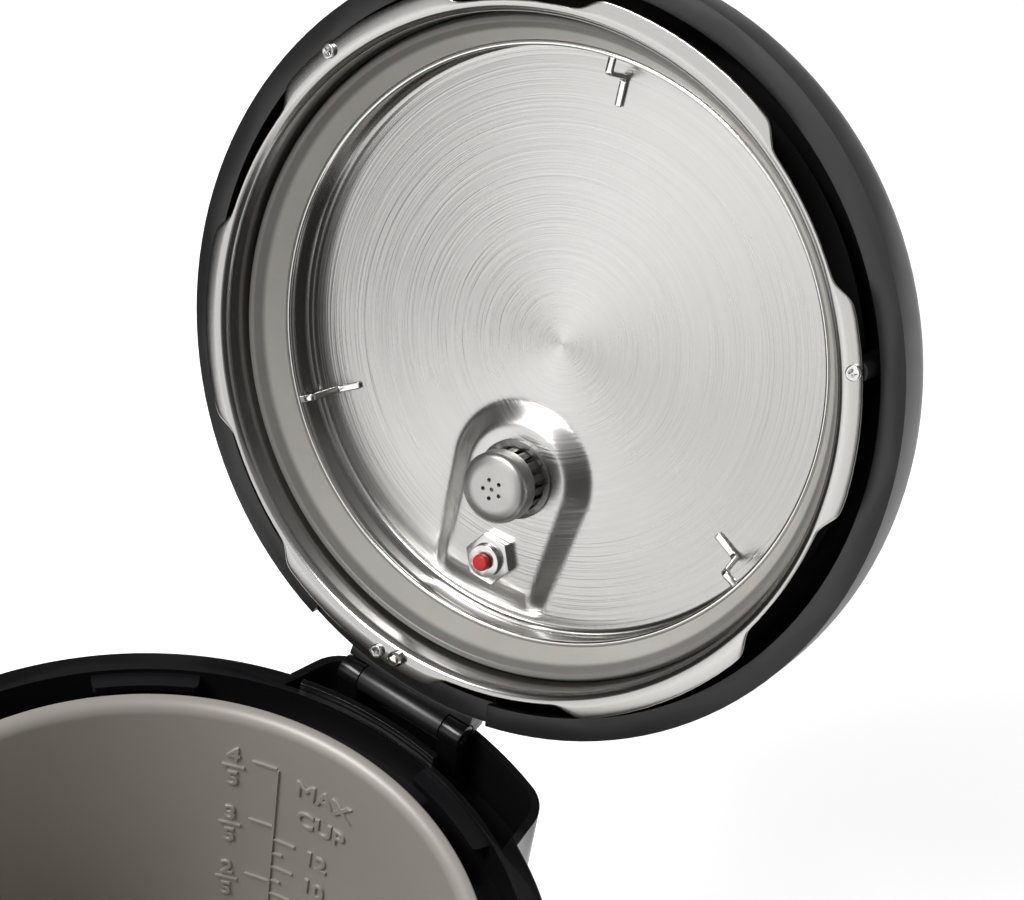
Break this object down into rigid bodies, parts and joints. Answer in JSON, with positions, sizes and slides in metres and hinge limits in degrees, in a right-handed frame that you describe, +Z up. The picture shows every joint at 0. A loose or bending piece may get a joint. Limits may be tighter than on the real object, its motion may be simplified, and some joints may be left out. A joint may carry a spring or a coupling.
{
  "type": "electric pressure cooker",
  "caption": "Round electric pressure cooker with a hinged, turn-to-lock lid shown open: lugged steel lid with sealing ring and valves, removable pot, heater and front controls.",
  "frame": {"origin": "on the standing plane, on the cooking pot's axis", "axes": "+Z up, -Y to the front panel, +Y to the lid hinge"},
  "size_m": [0.3222, 0.4346, 0.5073],
  "materials": {
    "black_plastic": "moulded, semi-gloss",
    "dark_plastic": "moulded, matt",
    "steel": "brushed",
    "steel_wire": "bright",
    "dark_ring": "black, satin",
    "pot_coating": "champagne, satin",
    "chamber_steel": "drawn",
    "cast_alu": "cast",
    "silicone": "translucent, satin",
    "red_silicone": "satin",
    "rubber": "matt",
    "zinc_screw": "plated",
    "window": "clear, dark tinted",
    "board": "coated",
    "brass_pin": "plated",
    "clear_cup": "frosted",
    "button": "soft-touch"
  },
  "bodies": {
    "base": {"outer_pot": "chamber_steel", "heating_plate": "cast_alu", "sensor_bracket": "steel", "sensor_spring": "steel_wire", "locking_ring": "dark_ring", "top_collar": "black_plastic", "hinge_box_cover": "dark_plastic", "outer_housing": "steel", "base_shell": "black_plastic", "foot_ring": "rubber", "bottom_plate": "steel", "bottom_screws": "zinc_screw", "power_board": "board", "power_inlet": "dark_plastic", "inlet_pins": "brass_pin", "side_handle_left": "black_plastic", "side_handle_right": "black_plastic", "panel_bezel": "black_plastic", "display_window": "window", "control_board": "board", "cup_holder": "dark_plastic"},
    "pot": {"inner_pot": "pot_coating"},
    "sensor": {"temperature_sensor": "chamber_steel"},
    "cup": {"condensation_cup": "clear_cup"},
    "carriage": {"hinge_carriage": "black_plastic", "hinge_pin": "steel_wire", "carriage_keeper": "steel", "keeper_screws": "zinc_screw"},
    "lid": {"lid_liner": "steel", "lid_stud": "steel_wire", "sealing_ring": "silicone", "seal_rack": "steel_wire", "rack_clips": "steel_wire", "steam_pipe": "steel_wire", "steam_pipe_nut": "zinc_screw", "filter_base": "steel", "filter_cap": "steel", "float_nut": "zinc_screw", "lid_cover": "black_plastic", "cover_screws": "zinc_screw", "lid_handle": "black_plastic", "hinge_arm": "black_plastic"},
    "knob": {"steam_knob": "dark_plastic"},
    "float": {"float_stem": "steel_wire", "float_gasket": "red_silicone"},
    "timer": {"timer_button": "button"},
    "plus": {"plus_button": "button"},
    "start": {"start_button": "button"},
    "mode": {"mode_button": "button"},
    "minus": {"minus_button": "button"},
    "cancel": {"cancel_button": "button"}
  },
  "joints": [
    {"name": "lock_turn", "type": "hinge", "parent": "base", "child": "carriage", "pos_m": [0, 0, 0], "axis": [0, 0, 1], "range_deg": [-12, 0]},
    {"name": "lid_hinge", "type": "hinge", "parent": "carriage", "child": "lid", "pos_m": [-0.01531, 0.1457, 0.237], "axis": [-0.9945, -0.1045, 0], "range_deg": [-110, 0]},
    {"name": "steam_knob_turn", "type": "hinge", "parent": "lid", "child": "knob", "pos_m": [-0.02048, 0.22343, 0.30762], "axis": [-0.0982, 0.9345, -0.342], "range_deg": [0, 40]},
    {"name": "float_slide", "type": "slide", "parent": "lid", "child": "float", "axis": [-0.0982, 0.9345, -0.342], "range_m": [-0.005, 0]},
    {"name": "pot_lift", "type": "slide", "parent": "base", "child": "pot", "axis": [0, 0, 1], "range_m": [0, 0.2]},
    {"name": "sensor_plunge", "type": "slide", "parent": "base", "child": "sensor", "axis": [0, 0, 1], "range_m": [-0.003, 0], "stiffness_N_per_m": 800, "springref_m": 0.002, "deforming": ["sensor_spring"]},
    {"name": "cup_slide", "type": "slide", "parent": "base", "child": "cup", "axis": [0, 1, 0], "range_m": [0, 0.03]},
    {"name": "timer_press", "type": "slide", "parent": "base", "child": "timer", "axis": [0, 1, 0], "range_m": [0, 0.0012], "stiffness_N_per_m": 400, "springref_m": -0.0005},
    {"name": "plus_press", "type": "slide", "parent": "base", "child": "plus", "axis": [0, 1, 0], "range_m": [0, 0.0012], "stiffness_N_per_m": 400, "springref_m": -0.0005},
    {"name": "start_press", "type": "slide", "parent": "base", "child": "start", "axis": [0, 1, 0], "range_m": [0, 0.0012], "stiffness_N_per_m": 400, "springref_m": -0.0005},
    {"name": "mode_press", "type": "slide", "parent": "base", "child": "mode", "axis": [0, 1, 0], "range_m": [0, 0.0012], "stiffness_N_per_m": 400, "springref_m": -0.0005},
    {"name": "minus_press", "type": "slide", "parent": "base", "child": "minus", "axis": [0, 1, 0], "range_m": [0, 0.0012], "stiffness_N_per_m": 400, "springref_m": -0.0005},
    {"name": "cancel_press", "type": "slide", "parent": "base", "child": "cancel", "axis": [0, 1, 0], "range_m": [0, 0.0012], "stiffness_N_per_m": 400, "springref_m": -0.0005}
  ]
}
